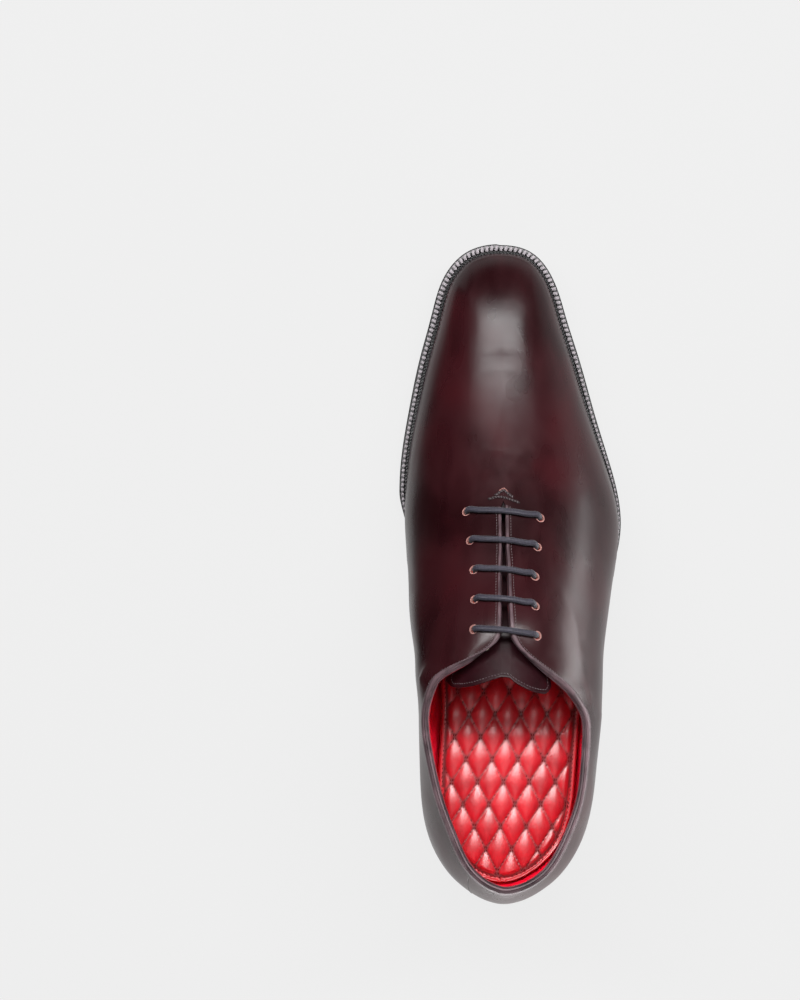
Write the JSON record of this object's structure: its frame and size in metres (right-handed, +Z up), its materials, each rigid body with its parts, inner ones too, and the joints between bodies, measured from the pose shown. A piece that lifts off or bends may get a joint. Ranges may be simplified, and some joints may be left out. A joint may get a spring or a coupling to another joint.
{
  "type": "leather oxford shoe",
  "caption": "Wholecut leather oxford shoe for the right foot, with straight-bar lacing, welted leather sole, stacked heel and quilted sock.",
  "frame": {"origin": "middle of the footprint, on the surface that the shoe stands on", "axes": "+Z up, +Y towards the toe, +X towards the little-toe side"},
  "size_m": [0.1022, 0.2976, 0.1022],
  "materials": {
    "burgundy_calf": "polished calf, hand-burnished",
    "edge_band": "burnished folded edge",
    "dark_calf": "semi-matt calf",
    "red_lining": "smooth lining leather",
    "red_sock": "soft glossy quilted leather",
    "foam": "open-cell foam",
    "canvas": "impregnated canvas",
    "insole_leather": "natural vegetable-tanned leather",
    "cork": "granular cork filler",
    "steel": "plain steel",
    "brass": "plain brass",
    "sole_leather": "smooth sole leather",
    "welt_leather": "black dyed, fudged",
    "heel_leather": "black dyed stacked leather",
    "rubber": "matt black rubber",
    "waxed_cord": "waxed round cord",
    "grey_thread": "waxed thread"
  },
  "bodies": {
    "shoe": {"aglet_inner": "waxed_cord", "aglet_outer": "waxed_cord", "bar_tack": "grey_thread", "cork_filler": "cork", "eyelet_inner_1": "brass", "eyelet_inner_2": "brass", "eyelet_inner_3": "brass", "eyelet_inner_4": "brass", "eyelet_inner_5": "brass", "eyelet_outer_1": "brass", "eyelet_outer_2": "brass", "eyelet_outer_3": "brass", "eyelet_outer_4": "brass", "eyelet_outer_5": "brass", "facing_stay_inner": "canvas", "facing_stay_outer": "canvas", "heel_counter": "canvas", "heel_lift_1": "heel_leather", "heel_lift_2": "heel_leather", "heel_lift_3": "heel_leather", "heel_nail_1": "steel", "heel_nail_2": "steel", "heel_nail_3": "steel", "heel_nail_4": "steel", "heel_nail_5": "steel", "heel_rand": "welt_leather", "heel_top_piece_leather": "sole_leather", "heel_top_piece_rubber": "rubber", "insole": "insole_leather", "insole_rib": "canvas", "lace": "waxed_cord", "lining_quarters": "red_lining", "lining_vamp": "red_lining", "outsole": "sole_leather", "shank": "steel", "side_stay_inner": "canvas", "side_stay_outer": "canvas", "sock_cover": "red_sock", "sock_foam": "foam", "toe_puff": "canvas", "top_piece_pin_1": "brass", "top_piece_pin_2": "brass", "top_piece_pin_3": "brass", "top_piece_pin_4": "brass", "top_piece_pin_5": "brass", "top_piece_pin_6": "brass", "topline_band": "edge_band", "upper": "burgundy_calf", "welt": "welt_leather"},
    "tongue": {"tongue_face": "dark_calf", "tongue_lining": "red_lining"}
  },
  "joints": [
    {"name": "tongue_hinge", "type": "hinge", "parent": "shoe", "child": "tongue", "pos_m": [-0.00509, 0.04178, 0.05], "axis": [1, 0, 0], "range_deg": [0, 14]}
  ]
}
